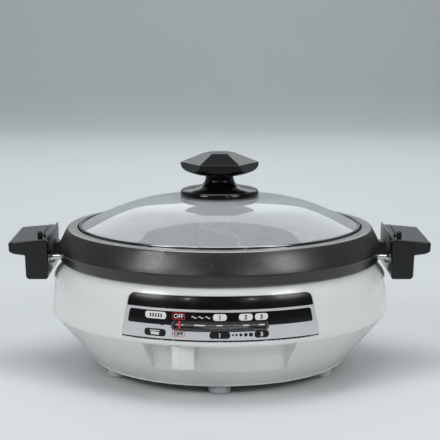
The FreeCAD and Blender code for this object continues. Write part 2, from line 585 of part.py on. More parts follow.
# bowl-shaped recess in the back wall of the right-hand chamber
BX, BY = 44.0, 146.0
bowl_a = math.degrees(math.atan2(BY, BX))
bowl_r, bowl_c = 31.0, 140.5
cx, cy = bowl_c * math.cos(math.radians(bowl_a)), bowl_c * math.sin(math.radians(bowl_a))
bowl_out = Part.makeSphere(bowl_r + 3.0, V(cx, cy, Z - 8.0)).common(rev([(120, -16.0), (120, -60), (166, -60), (166, -16.0)], 40, 110, z0=Z))
bowl_in = Part.makeSphere(bowl_r, V(cx, cy, Z - 8.0)).common(rev([(100, -5.0), (100, -60), (168.6, -60), (168.6, -8.4), (166, -5)], 30, 120, z0=Z))
pot = pot.fuse(bowl_out).cut(bowl_in)

# four narrow notches across the ledge and rim
for a in (64, 116, -64, -116):
    n = box(168.4, 176.5, -2.2, 2.2, Z - 7.4, Z - 5.5).fuse(box(173.0, 178.6, -2.6, 2.6, Z - 7.4, Z + 1))
    pot = pot.cut(spin(n, a))

# cast lugs under the shoulder at both sides
lug = box(192.0, 204.0, -9.0, 9.0, Z - 36.5, Z - 20.0)
lug = fillet(lug, 2.0, lambda e: e.BoundBox.XLength > 10)
lug = lug.cut(rev([(0, -50), (0, 0)] + [(189.4, -12.0), (194.2, -20.6), (196.0, -27.6), (195.2, -38.2)] + [(195.2, -50)], z0=Z))
pot = pot.fuse([lug, mirror_x(lug)])
PIN_Y = 43.0
PIN_Z = -33.0
for sx in (-1, 1):
    for sy in (-1, 1):
        pot = pot.cut(rod((sx * 180, sy * PIN_Y, Z + PIN_Z), (sx * 204, sy * PIN_Y, Z + PIN_Z), 2.6))
pot = solid(pot)
export("pot", pot)

# bare metal base
base_plate = rev([(150.2, -100.4), [(150.2, -100.4), (148.8, -104.6), (145.9, -109.4), (142.6, -112.4)], (140.8, -113.2), (0, -113.2), (0, -110.2), (140.0, -110.2),
                  [(140.0, -110.2), (144.9, -106.0), (147.4, -100.4)]], z0=Z)
notch = prism_y([(-11, -114.5), (11, -114.5), (6.2, -108.4), (-6.2, -108.4)], -160, -134)
notch.translate(V(0, 0, Z))
base_plate = base_plate.cut(notch)
export("pot_base_plate", base_plate)

# S-shaped divider
DIV = [(0, 153.6), (-7.6, 142.0), (-13.5, 128.0), (-20.5, 102.0), (-24.6, 66.0), (-20.5, 42.0), (-12.0, 22.0), (0, 0),
       (12.0, -22.0), (20.5, -42.0), (24.6, -66.0), (20.5, -102.0), (13.5, -128.0), (7.6, -142.0), (0, -153.6)]
DIV_T = 2.2


def strip(pts, t, z0, z1):
    l = offset(pts, t)
    r = offset(pts, -t)
    c1, c2 = Part.BSplineCurve(), Part.BSplineCurve()
    c1.interpolate([V(x, y, z0) for x, y in l])
    c2.interpolate([V(x, y, z0) for x, y in r])
    w = Part.Wire([c1.toShape(), Part.makeLine(V(*l[-1], z0), V(*r[-1], z0)), c2.toShape(), Part.makeLine(V(*r[0], z0), V(*l[0], z0))])
    return Part.Face(w).extrude(V(0, 0, z1 - z0))


inside = rev([(0, -106.2), (133.0, -106.2),
              [(133.0, -106.2), (140.5, -104.0), (145.5, -98.0), (148.4, -90.0), (150.8, -80.0), (153.0, -60.0), (154.4, -38.0), (155.9, -27.0), (157.2, -18.6), (159.0, -14.4)], (160.5, -10.0), (0, -10.0)], z0=Z)
DIV2 = [(2.4, 158.0)] + DIV + [(-2.4, -158.0)]
div = strip(DIV2, DIV_T, Z - 107, Z - 10.0).common(inside)
for s in (-1, 1):
    div = div.cut(cyl(-s * -1.6, s * 152.6, Z - 15.0, Z - 5, 3.4))
export("pot_divider", div)

# handles: the right-hand one, then mirrored
HX = 206.0
hp = [(HX, -8.5), (HANDLE_OUT, -12.6), (HANDLE_OUT - 0.6, -24.2), (248.0, -27.0), (234.4, -28.8), (233.4, -55.2), (230.4, -57.9), (HX + 0.8, -57.9)]
hr = [5.0, 2.6, 2.6, 5.0, 1.2, 3.0, 2.0, 3.2]
handle = prism_y([(x, z + Z) for x, z in hp], -HANDLE_HALF, HANDLE_HALF, hr)
handle = fillet(handle, 2.4, lambda e: abs(abs(e.CenterOfMass.y) - HANDLE_HALF) < 0.01)
for sy in (-1, 1):
    handle = handle.cut(rod((HX - 2, sy * PIN_Y, Z + PIN_Z), (HX + 12, sy * PIN_Y, Z + PIN_Z), 2.6))
handle_r = handle
export("handle_right", handle_r)
export("handle_left", mirror_x(handle_r))

shield_pts = [(-37, -2.6), (37, -2.6), (37, -27), (20, -32), (20, -45.5), (-20, -45.5), (-20, -32), (-37, -27)]
shield = prism_x([(y, z + Z) for y, z in shield_pts], 204.4, 205.9, [3, 3, 5, 4, 6, 6, 4, 5])
shield = fillet(shield, 0.5, lambda e: abs(e.CenterOfMass.x - 204.4) < 0.01)
export("heat_shield_right", shield)
export("heat_shield_left", mirror_x(shield))

pins = []
nuts = []
for sx in (-1, 1):
    for sy in (-1, 1):
        pins.append(rod((sx * 188.0, sy * PIN_Y, Z + PIN_Z), (sx * (HX + 12), sy * PIN_Y, Z + PIN_Z), 2.6))
        hexa = Part.Face(Part.makePolygon([V(sx * 201.8, sy * PIN_Y + 4.3 * math.cos(math.radians(60 * k)), Z + PIN_Z + 4.3 * math.sin(math.radians(60 * k))) for k in range(7)]))
        nuts.append(hexa.extrude(V(sx * 4.2, 0, 0)).cut(rod((sx * 180.0, sy * PIN_Y, Z + PIN_Z), (sx * 210, sy * PIN_Y, Z + PIN_Z), 2.6)))
export("handle_pins", many(pins))
export("handle_nuts", many(nuts))

# lid rests on top of the handles: a black peg and a bent grey tab on each
pegs = []
tabs = []
for sx in (-1, 1):
    peg = rev([(0, -1.0), (2.4, -1.0), [(2.4, -1.0), (3.2, 1.6), (3.3, 4.4), (2.5, 7.4), (0.9, 8.6), (0, 8.7)]])
    peg.translate(V(sx * 217.0, -44.0, Z - 9.3))
    pegs.append(peg)
    tp = [(214.5, -9.0), (215.9, -9.1), (213.0, -2.4), (208.6, 3.6), (207.4, 2.7), (211.7, -3.2)]
    tab = prism_y([(sx * x, z + Z) for x, z in tp], -30, -16)
    tabs.append(tab.cut(handle_r if sx > 0 else mirror_x(handle_r)))
pegs = [p.cut(handle_r if p.BoundBox.Center.x > 0 else mirror_x(handle_r)) for p in pegs]
export("lid_rest_pegs", many(pegs))
export("lid_rest_tabs", many(tabs))

# ================================================================ LID, heights from the band's underside
L = LID_Z
GLASS = [(0, 42.5), (30, 42.1), (55, 40.9), (80, 38.4), (100, 34.9), (123, 27.9), (140.5, 20.9), (155, 14.2), (165, 9.6), (170.6, 7.0)]
GLASS_IN = offset(GLASS, -GLASS_T)
GLASS_IN[0] = (0, 42.5 - GLASS_T)
glass = rev([GLASS, (171.6, 5.6), (171.6, 3.6), (170.4, 2.6), (168.6, 3.0), GLASS_IN[::-1][1:]], z0=L)
hole_r = 4.2
glass = glass.cut(cyl(0, 0, L + 30, L + 50, hole_r))
export("lid_glass", glass)
band = rev([(171.6, 2.2), (171.6, 5.9), (170.9, 7.2), (171.4, 8.5), (172.4, 8.5), [(172.4, 8.5), (173.1, 7.8), (173.4, 6.6)], (173.4, 1.2), [(173.4, 1.2), (173.1, 0.3), (172.3, 0.0)], (168.2, 0.0), [(168.2, 0.0), (167.4, 0.4), (167.2, 1.1)], [(167.2, 1.1), (167.6, 1.9), (168.4, 2.2)]], z0=L)
band = band.cut(glass)
export("lid_band", band)


def glass_z(r):
    for a, b in zip(GLASS, GLASS[1:]):
        if a[0] <= r <= b[0]:
            return a[1] + (b[1] - a[1]) * (r - a[0]) / (b[0] - a[0])


gasket = rev([(hole_r, 43.4), (47.3, 43.4), (47.6, 42.9), (47.6, 41.6), (46.6, 41.0), (hole_r, 42.0)], z0=L).cut(glass)
export("knob_gasket", gasket)
skirt = rev([(0, 43.4), (47.8, 43.4), [(47.8, 43.4), (48.5, 44.4), (48.6, 46.6), (47.8, 48.8), (45.2, 50.8)], [(45.2, 50.8), (38.0, 52.6), (28.0, 54.4), (21.6, 56.6), (18.6, 60.0), (17.6, 63.0)], (17.0, 68.0), (0, 68.0)], z0=L)
skirt = skirt.cut(cyl(0, 0, L + 30, L + 70, 2.6))
export("knob_skirt", skirt)


def hexw(r, z):
    return Part.makePolygon([V(r * math.cos(math.radians(60 * k)), r * math.sin(math.radians(60 * k)), z) for k in range(7)])


HEAD_R, TOP_R = 48.6, 19.0
frustum = Part.makeLoft([hexw(HEAD_R, L + 84.0), hexw(TOP_R, L + 95.8)], True, True)
frustum = frustum.fuse(Part.Face(hexw(HEAD_R, L + 66.0)).extrude(V(0, 0, 18.0))).removeSplitter()
frustum = fillet(frustum, 1.6, lambda e: True)
under = rev([(0, 68.0), (17.0, 68.0), [(17.0, 68.0), (24.0, 68.5), (34.0, 70.6), (42.4, 74.2), (46.6, 78.0), (48.0, 82.0), (47.9, 85.6)], (40, 100), (0, 100)], z0=L)
head = under.common(frustum)
head = head.cut(cyl(0, 0, L + 60, L + 74, 2.6))
export("knob_grip", head)
screw = cyl(0, 0, L + 36.4, L + 73.5, 2.6).fuse(rev([(0, 33.6), (3.6, 33.6), [(3.6, 33.6), (4.9, 34.4), (5.4, 36.4)], (0, 36.4)], z0=L)).cut(box(-3.4, 3.4, -0.6, 0.6, L + 30, L + 34.9))
export("knob_screw", screw)
washer = rev([(2.6, 36.4), (9.0, 36.4), (9.0, 38.2), (2.6, 38.2)], z0=L).cut(glass)
export("knob_washer", washer)
# the bush fills the hole in the glass between the washer and the gasket
bush = cyl(0, 0, L + 38.2, L + 43.4, hole_r - 0.01).cut(cyl(0, 0, L + 30, L + 50, 2.6))
export("knob_bush", bush)
print("parts", len(os.listdir("parts")))
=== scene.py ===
import bpy
import bmesh
import json
import math
import numpy as np
from mathutils import Vector, Matrix


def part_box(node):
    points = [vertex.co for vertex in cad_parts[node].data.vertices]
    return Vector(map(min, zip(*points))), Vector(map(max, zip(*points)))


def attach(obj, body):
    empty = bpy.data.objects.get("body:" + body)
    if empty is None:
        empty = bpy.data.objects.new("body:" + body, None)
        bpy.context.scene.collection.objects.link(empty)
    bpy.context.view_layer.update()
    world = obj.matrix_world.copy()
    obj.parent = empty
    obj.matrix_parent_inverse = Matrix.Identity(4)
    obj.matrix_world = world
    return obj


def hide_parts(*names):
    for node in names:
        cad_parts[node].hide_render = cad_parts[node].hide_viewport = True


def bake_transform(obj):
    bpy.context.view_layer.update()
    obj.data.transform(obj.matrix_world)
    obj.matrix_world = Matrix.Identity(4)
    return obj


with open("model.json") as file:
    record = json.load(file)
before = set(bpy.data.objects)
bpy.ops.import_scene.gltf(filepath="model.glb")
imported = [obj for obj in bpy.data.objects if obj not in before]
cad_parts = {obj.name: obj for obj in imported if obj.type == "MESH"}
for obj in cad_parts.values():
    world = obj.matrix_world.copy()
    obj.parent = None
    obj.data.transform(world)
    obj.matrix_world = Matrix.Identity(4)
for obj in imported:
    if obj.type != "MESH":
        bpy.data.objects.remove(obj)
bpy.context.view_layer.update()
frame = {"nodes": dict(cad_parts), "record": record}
N = frame["nodes"]


mm = 0.001
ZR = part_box("pot")[1].z            # pot rim
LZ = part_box("lid_band")[0].z       # underside of the lid band

# ------------------------------------------------------------------ camera
bpy.context.scene.view_settings.view_transform = "Standard"
cam_d = bpy.data.cameras.new("camera")
cam = bpy.data.objects.new("camera", cam_d)
bpy.context.scene.collection.objects.link(cam)
cam_d.sensor_width = 36.0
cam_d.lens = 111.2
cam_d.clip_start = 0.05
cam_d.clip_end = 50
cam.location = (0.0005, -1.6632, 0.4438)
cam.rotation_euler = (math.radians(90 - 9.056), 0, 0)
bpy.context.scene.camera = cam


# ------------------------------------------------------------------ material helpers
class M:
    """A procedural material about one Principled shader, in the object's own coordinates (metres)."""

    def __init__(self, name, color, rough, metallic=0.0, **k):
        self.m = bpy.data.materials.new(name)
        self.m.use_nodes = True
        self.nt = self.m.node_tree
        self.b = next(n for n in self.nt.nodes if n.type == "BSDF_PRINCIPLED")
        self.out = next(n for n in self.nt.nodes if n.type == "OUTPUT_MATERIAL")
        self.b.inputs["Base Color"].default_value = (*color, 1)
        self.b.inputs["Roughness"].default_value = rough
        self.b.inputs["Metallic"].default_value = metallic
        for key, v in k.items():
            self.b.inputs[key.replace("_", " ")].default_value = v
        self.color, self.rough = color, rough
        self.tc = self.new("ShaderNodeTexCoord")
        self.normal = None

    def new(self, kind, **k):
        n = self.nt.nodes.new(kind)
        for key, v in k.items():
            setattr(n, key, v)
        return n

    def link(self, a, b):
        self.nt.links.new(a, b)

    def noise(self, scale, detail=3.0, rough=0.55, vec=None, w=None):
        n = self.new("ShaderNodeTexNoise")
        n.inputs["Scale"].default_value = scale
        n.inputs["Detail"].default_value = detail
        n.inputs["Roughness"].default_value = rough
        if w is not None:
            n.noise_dimensions = "1D"
            self.link(w, n.inputs["W"])
        else:
            self.link(vec or self.tc.outputs["Object"], n.inputs["Vector"])
        return n.outputs["Fac"]

    def map(self, fac, a, b, lo=0.3, hi=0.7):
        n = self.new("ShaderNodeMapRange")
        n.inputs["From Min"].default_value = lo
        n.inputs["From Max"].default_value = hi
        n.inputs["To Min"].default_value = a
        n.inputs["To Max"].default_value = b
        self.link(fac, n.inputs["Value"])
        return n.outputs["Result"]

    def ramp(self, fac, stops):
        n = self.new("ShaderNodeValToRGB")
        e = n.color_ramp.elements
        while len(e) < len(stops):
            e.new(0.5)
        for i, (p, c) in enumerate(stops):
            e[i].position = p
            e[i].color = (*c, 1)
        self.link(fac, n.inputs["Fac"])
        return n.outputs["Color"]

    def mix(self, fac, a, b, mode="MIX"):
        n = self.new("ShaderNodeMix", data_type="RGBA", blend_type=mode)
        ins = [i for i in n.inputs if i.type == "RGBA"]
        f = next(i for i in n.inputs if i.name == "Factor" and i.type == "VALUE")
        for s, v in ((f, fac), (ins[0], a), (ins[1], b)):
            if isinstance(v, (int, float)):
                s.default_value = v
            elif isinstance(v, tuple):
                s.default_value = (*v, 1)
            else:
                self.link(v, s)
        return next(o for o in n.outputs if o.type == "RGBA")

    def color_var(self, amount, scale, detail=3.0):
        """Slow, slight change of colour over the surface."""
        c = self.color
        lo = tuple(max(0, v * (1 - amount)) for v in c)
        hi = tuple(min(1, v * (1 + amount)) for v in c)
        col = self.ramp(self.noise(scale, detail), [(0.3, lo), (0.7, hi)])
        self.link(col, self.b.inputs["Base Color"])
        self.col = col
        return self

    def rough_var(self, amount, scale, detail=4.0):
        r = self.map(self.noise(scale, detail), max(0.01, self.rough - amount), min(1, self.rough + amount))
        self.link(r, self.b.inputs["Roughness"])
        return self

    def bump(self, height, strength, dist):
        n = self.new("ShaderNodeBump")
        n.inputs["Strength"].default_value = strength
        n.inputs["Distance"].default_value = dist
        self.link(height, n.inputs["Height"])
        if self.normal is not None:
            self.link(self.normal, n.inputs["Normal"])
        self.normal = n.outputs["Normal"]
        self.link(self.normal, self.b.inputs["Normal"])
        return self

    def grain(self, scale, strength, dist, detail=2.0):
        return self.bump(self.noise(scale, detail), strength, dist)

    def radius(self, kr=1.0, kz=0.0):
        """kr * distance from the vertical axis + kz * height: turning marks run where this is constant."""
        s = self.new("ShaderNodeSeparateXYZ")
        self.link(self.tc.outputs["Object"], s.inputs[0])
        c = self.new("ShaderNodeCombineXYZ")
        self.link(s.outputs["X"], c.inputs["X"])
        self.link(s.outputs["Y"], c.inputs["Y"])
        ln = self.new("ShaderNodeVectorMath", operation="LENGTH")
        self.link(c.outputs[0], ln.inputs[0])
        a = self.new("ShaderNodeMath", operation="MULTIPLY")
        self.link(ln.outputs["Value"], a.inputs[0])
        a.inputs[1].default_value = kr
        b = self.new("ShaderNodeMath", operation="MULTIPLY_ADD")
        self.link(s.outputs["Z"], b.inputs[0])
        b.inputs[1].default_value = kz
        self.link(a.outputs[0], b.inputs[2])
        return b.outputs[0]

    def turned(self, scale, strength, dist, rough_amount=0.06, kr=1.0, kz=1.0, color_amount=0.06):
        """Circular brushing about the vertical axis."""
        w = self.radius(kr, kz)
        f = self.noise(scale, 5.0, 0.65, w=w)
        f2 = self.noise(scale * 0.13, 3.0, 0.6, w=w)
        self.link(self.map(f, max(0.02, self.rough - rough_amount), self.rough + rough_amount), self.b.inputs["Roughness"])
        c = self.color
        col = self.ramp(f2, [(0.3, tuple(v * (1 - color_amount) for v in c)), (0.7, tuple(min(1, v * (1 + color_amount)) for v in c))])
        self.link(col, self.b.inputs["Base Color"])
        self.bump(f, strength, dist)
        return self

    def scratches(self, strength=0.15, dist=0.00004, scale=90):
        """Sparse fine hairlines from wiping."""
        mp = self.new("ShaderNodeMapping")
        mp.inputs["Scale"].default_value = (1.0, 22.0, 22.0)
        mp.inputs["Rotation"].default_value = (0.2, 0.5, 0.6)
        self.link(self.tc.outputs["Object"], mp.inputs["Vector"])
        f = self.noise(scale, 2.0, 0.5, vec=mp.outputs[0])
        r = self.ramp(f, [(0.62, (0, 0, 0)), (0.70, (1, 1, 1))])
        return self.bump(r, strength, dist)


MATS = {}

# white moulded shell: glossy, faint orange peel, slight toning
m = M("white_shell", (0.76, 0.785, 0.765), 0.20, Coat_Weight=0.35, Coat_Roughness=0.08)
m.color_var(0.018, 6.0).rough_var(0.05, 35.0).grain(260.0, 0.06, 0.0002, 2.0).scratches(0.05, 0.00003, 60)
MATS["white_shell"] = m.m
m = M("white_cover", (0.64, 0.66, 0.65), 0.5)
m.color_var(0.03, 9.0).rough_var(0.06, 50.0).grain(1500.0, 0.25, 0.0002, 2.0)
MATS["white_cover"] = m.m
# silver print: fine flake
m = M("silver_panel", (0.66, 0.665, 0.69), 0.34, 0.35, Coat_Weight=0.3, Coat_Roughness=0.1)
m.color_var(0.05, 900.0, 1.0).rough_var(0.06, 60.0).grain(2200.0, 0.06, 0.0001, 1.0)
MATS["silver_panel"] = m.m
m = M("dark_window", (0.052, 0.054, 0.057), 0.2, Coat_Weight=0.6, Coat_Roughness=0.05)
m.color_var(0.10, 40.0).rough_var(0.05, 80.0)
MATS["dark_window"] = m.m
m = M("lamp_grey", (0.12, 0.12, 0.122), 0.2, Coat_Weight=0.8, Coat_Roughness=0.05)
m.color_var(0.15, 400.0).rough_var(0.04, 200.0)
MATS["lamp_grey"] = m.m
m = M("foot_rubber", (0.70, 0.73, 0.74), 0.38, Subsurface_Weight=0.25, Subsurface_Scale=0.01, Transmission_Weight=0.25)
m.color_var(0.04, 80.0).rough_var(0.08, 120.0).grain(900.0, 0.12, 0.0002)
MATS["foot_rubber"] = m.m
m = M("zinc_steel", (0.55, 0.56, 0.57), 0.36, 1.0)
m.color_var(0.12, 160.0, 5.0).rough_var(0.08, 220.0).grain(1200.0, 0.08, 0.0001)
MATS["zinc_steel"] = m.m
m = M("grey_liner", (0.45, 0.47, 0.45), 0.36, 0.4)
m.color_var(0.06, 14.0).turned(1500.0, 0.10, 0.00005, 0.06, 0.4, 1.0, 0.08)
MATS["grey_liner"] = m.m
m = M("bright_dish", (0.80, 0.79, 0.75), 0.32, 0.8, Anisotropic=0.5)
m.turned(1700.0, 0.16, 0.00005, 0.07, 1.0, 0.6, 0.05)
MATS["bright_dish"] = m.m
m = M("heater_sheath", (0.10, 0.085, 0.078), 0.5, 0.7)
m.color_var(0.30, 60.0, 5.0).rough_var(0.12, 90.0).grain(700.0, 0.2, 0.0002)
MATS["heater_sheath"] = m.m
m = M("ceramic", (0.74, 0.70, 0.62), 0.4)
m.color_var(0.05, 60.0).rough_var(0.1, 100.0).grain(900.0, 0.15, 0.0002)
MATS["ceramic"] = m.m
m = M("dark_plastic", (0.025, 0.025, 0.027), 0.42)
m.color_var(0.10, 30.0).rough_var(0.07, 70.0).grain(1300.0, 0.25, 0.0002)
MATS["dark_plastic"] = m.m
m = M("bright_steel", (0.72, 0.72, 0.725), 0.13, 1.0)
m.turned(2400.0, 0.05, 0.00003, 0.04, 1.0, 1.0, 0.03)
MATS["bright_steel"] = m.m
# darker copy of bright_steel for the lid band: painted shade, its dark colour stands in for the band reflecting dim
# surroundings
m = M("band_steel_painted_shade", (0.24, 0.24, 0.245), 0.16, 1.0)
m.turned(2400.0, 0.05, 0.00003, 0.04, 0.3, 1.0, 0.03)
MATS["band_steel_painted_shade"] = m.m
m = M("wire_sleeve", (0.62, 0.60, 0.54), 0.7)
m.color_var(0.08, 300.0).rough_var(0.08, 400.0).grain(2600.0, 0.5, 0.0003)
MATS["wire_sleeve"] = m.m
m = M("red_pointer", (0.72, 0.012, 0.012), 0.3, Coat_Weight=0.4)
m.color_var(0.05, 200.0).rough_var(0.05, 300.0)
MATS["red_pointer"] = m.m

# pot coating: charcoal nonstick with fine light specks and a pebbled surface
m = M("pot_coating", (0.022, 0.021, 0.021), 0.34, 0.2, Coat_Weight=0.25, Coat_Roughness=0.28, Specular_IOR_Level=0.6)
v = m.new("ShaderNodeTexVoronoi")
v.inputs["Scale"].default_value = 520.0
m.link(m.tc.outputs["Object"], v.inputs["Vector"])
spk = m.ramp(v.outputs["Distance"], [(0.10, (1, 1, 1)), (0.24, (0, 0, 0))])
gate = m.ramp(m.noise(330.0, 1.0), [(0.52, (0, 0, 0)), (0.60, (1, 1, 1))])
spk = m.mix(1.0, spk, gate, "MULTIPLY")
base = m.ramp(m.noise(7.0, 3.0), [(0.3, (0.014, 0.0135, 0.0135)), (0.7, (0.022, 0.021, 0.021))])
fine = m.ramp(m.noise(1100.0, 2.0), [(0.35, (0.012, 0.0115, 0.0115)), (0.70, (0.040, 0.037, 0.036))])
col = m.mix(0.45, base, fine)
col = m.mix(spk, col, (0.15, 0.14, 0.14))
m.link(col, m.b.inputs["Base Color"])
m.rough_var(0.06, 240.0)
m.grain(620.0, 0.30, 0.0003, 2.0)
MATS["pot_coating"] = m.m
# a lighter, metallic grey on the upward faces of the pot's rim and the divider's top edge
m = M("rim_edge", (0.30, 0.295, 0.295), 0.28, 0.85)
m.turned(2000.0, 0.08, 0.00004, 0.06, 1.0, 0.2, 0.10)
MATS["rim_edge"] = m.m
m = M("bare_aluminium", (0.72, 0.69, 0.75), 0.42, 0.6)
m.turned(1500.0, 0.12, 0.00005, 0.08, 1.0, 0.7, 0.06)
MATS["bare_aluminium"] = m.m

m = M("black_gloss", (0.0035, 0.0033, 0.0045), 0.12, Coat_Weight=0.10, Coat_Roughness=0.03, Specular_IOR_Level=0.32)
m.color_var(0.25, 20.0).rough_var(0.05, 22.0, 5.0).grain(120.0, 0.04, 0.0002, 2.0)
MATS["black_gloss"] = m.m
m = M("grey_shield", (0.17, 0.17, 0.172), 0.40, 0.55)
m.color_var(0.06, 60.0).rough_var(0.08, 120.0).grain(1000.0, 0.15, 0.0001)
MATS["grey_shield"] = m.m
m = M("grey_rubber", (0.16, 0.17, 0.17), 0.55)
m.color_var(0.06, 60.0).rough_var(0.08, 120.0).grain(1200.0, 0.2, 0.0002)
MATS["grey_rubber"] = m.m

# lid glass: faintly green, slight ripple; three quarters clear and one quarter whitish diffuse, a painted reflection
# that makes the glass look bright
m = M("lid_glass", (0.86, 0.90, 0.93), 0.02, Transmission_Weight=0.74, IOR=1.5)
m.rough_var(0.010, 18.0, 4.0).grain(9.0, 0.01, 0.0003, 0.0)
MATS["lid_glass"] = m.m

# print on the panel
m = M("print_black", (0.0035, 0.0035, 0.004), 0.24, Coat_Weight=0.1, Coat_Roughness=0.06, Specular_IOR_Level=0.30)
m.color_var(0.20, 60.0).rough_var(0.04, 60.0)
MATS["print_black"] = m.m
m = M("print_white", (0.74, 0.74, 0.74), 0.35)
m.color_var(0.03, 300.0).rough_var(0.05, 300.0)
MATS["print_white"] = m.m
m = M("print_grey", (0.30, 0.31, 0.32), 0.35)
m.color_var(0.05, 300.0).rough_var(0.05, 300.0)
MATS["print_grey"] = m.m
m = M("print_red", (0.62, 0.012, 0.02), 0.35)
m.color_var(0.05, 300.0).rough_var(0.05, 300.0)
MATS["print_red"] = m.m

slot_of = {s["node"]: s["material_slot"] for s in frame["record"]["subparts"]}
for name, o in N.items():
    o.data.materials.clear()
    o.data.materials.append(MATS[slot_of[name]])


# the lid band gets the darker steel copy: painted shade in place of its dark reflections
N["lid_band"].data.materials[0] = MATS["band_steel_painted_shade"]


def smooth(o, deg=32.0):
    """Smooth shading with hard edges kept, by marking; the points of the mesh stay where they are."""
    me = o.data
    me.polygons.foreach_set("use_smooth", [True] * len(me.polygons))
    me.set_sharp_from_angle(angle=math.radians(deg))
    me.update()


# ------------------------------------------------------------------ lighter metal on the pot's rim and the divider's top
pot = N["pot"].data
pot.materials.append(MATS["rim_edge"])
idx = np.zeros(len(pot.polygons), np.int32)
for p in pot.polygons:
    c, n = p.center, p.normal
    r = math.hypot(c.x, c.y)
    if n.z > 0.7 and c.z > ZR - 0.0012 and r > 0.174:
        idx[p.index] = 1
pot.polygons.foreach_set("material_index", idx)
dv = N["pot_divider"].data
dv.materials.append(MATS["rim_edge"])
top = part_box("pot_divider")[1].z
dv.polygons.foreach_set("material_index", [1 if (p.normal.z > 0.7 and p.center.z > top - 0.0006) else 0 for p in dv.polygons])

# ------------------------------------------------------------------ printed panel
UP = [(188.6, 137.2), (192.6, 133.6), (196.2, 129.0), (199.0, 124.0), (202.4, 113.5), (204.6, 103.0), (206.1, 90.0), (206.9, 80.0), (207.0, 72.6)]


def spline_r():
    """Radius of the front wall against height, through the wall's own points (natural cubic)."""
    z = np.array([p[1] for p in UP])[::-1]
    r = np.array([p[0] for p in UP])[::-1]
    n = len(z)
    h = np.diff(z)
    A = np.zeros((n, n))
    b = np.zeros(n)
    A[0, 0] = A[-1, -1] = 1
    for i in range(1, n - 1):
        A[i, i - 1], A[i, i], A[i, i + 1] = h[i - 1], 2 * (h[i - 1] + h[i]), h[i]
        b[i] = 6 * ((r[i + 1] - r[i]) / h[i] - (r[i] - r[i - 1]) / h[i - 1])
    s = np.linalg.solve(A, b)

    def f(q):
        i = int(np.clip(np.searchsorted(z, q) - 1, 0, n - 2))
        t, u = q - z[i], z[i + 1] - q
        return (s[i] * u ** 3 + s[i + 1] * t ** 3) / (6 * h[i]) + (r[i] / h[i] - s[i] * h[i] / 6) * u + (r[i + 1] / h[i] - s[i + 1] * h[i] / 6) * t
    return f


R_AT = spline_r()


def on_wall(x, z, off):
    """Point of the front wall at (x, z) in mm, raised off mm out of it."""
    r = R_AT(z)
    dr = (R_AT(z + 0.2) - R_AT(z - 0.2)) / 0.4
    k = 1 / math.sqrt(1 + dr * dr)
    rr, zz = min(r + off * k, 207.022), z - off * dr * k      # the print never leaves the outline of the base
    return (x * mm, -math.sqrt(max(rr * rr - x * x, 1e-6)) * mm, zz * mm)


def make(name, verts, faces, mat, body="base", flip=False):
    me = bpy.data.meshes.new(name)
    me.from_pydata(verts, [], faces)
    me.update()
    o = bpy.data.objects.new(name, me)
    bpy.context.scene.collection.objects.link(o)
    me.materials.append(MATS[mat])
    # faces look outwards, to the front
    c = sum((p.normal.y * p.area for p in me.polygons))
    if (c > 0) != flip:
        me.flip_normals()
    me.polygons.foreach_set("use_smooth", [True] * len(me.polygons))
    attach(o, body)
    return o


def rr_cols(x0, x1, z0, z1, r, step=1.2, lean=None):
    """Columns (x, low z, high z) that fill a rounded rectangle; lean is not used."""
    cols = []
    n = max(8, int((x1 - x0) / step))
    xs = set(np.linspace(x0, x1, n).tolist())
    for k in range(9):
        a = r * (1 - math.cos(math.radians(k * 90 / 8)))
        xs.add(x0 + a)
        xs.add(x1 - a)
    for x in sorted(xs):
        d = min(x - x0, x1 - x)
        c = 0.0 if d >= r else r - math.sqrt(max(r * r - (r - d) ** 2, 0.0))
        cols.append((x, z0 + c, z1 - c))
    return cols


def decal_cols(name, cols, mat, off, rows=2, body="base", wall=on_wall):
    verts, faces = [], []
    for x, a, b in cols:
        for k in range(rows + 1):
            verts.append(wall(x, a + (b - a) * k / rows, off))
    w = rows + 1
    for i in range(len(cols) - 1):
        for k in range(rows):
            a = i * w + k
            faces.append((a, a + w, a + w + 1, a + 1))
    return make(name, verts, faces, mat, body)


def loop_rr(x0, x1, z0, z1, r, n=14, m_side=40):
    pts = []
    cs = [(x1 - r, z1 - r, 0), (x0 + r, z1 - r, 90), (x0 + r, z0 + r, 180), (x1 - r, z0 + r, 270)]
    for i, (cx, cz, a0) in enumerate(cs):
        for k in range(n + 1):
            a = math.radians(a0 + 90 * k / n)
            pts.append((cx + r * math.cos(a), cz + r * math.sin(a)))
        nx, nz, na = cs[(i + 1) % 4]
        e = (nx + r * math.cos(math.radians(na)), nz + r * math.sin(math.radians(na)))
        s = pts[-1]
        for k in range(1, m_side):
            pts.append((s[0] + (e[0] - s[0]) * k / m_side, s[1] + (e[1] - s[1]) * k / m_side))
    return pts


def decal_ring(name, x0, x1, z0, z1, r, w, mat, off):
    a = loop_rr(x0, x1, z0, z1, r)
    b = loop_rr(x0 + w, x1 - w, z0 + w, z1 - w, max(r - w, 0.3))
    verts = [on_wall(x, z, off) for x, z in a] + [on_wall(x, z, off) for x, z in b]
    n = len(a)
    faces = [(i, (i + 1) % n, n + (i + 1) % n, n + i) for i in range(n)]
    return make(name, verts, faces, mat)


PX0, PX1, PCX = 111.1, 102.0, 0.9
Z0, Z1 = 75.3, 125.4


def half(z):
    return PX0 + (PX1 - PX0) * (z - Z0) / (Z1 - Z0)


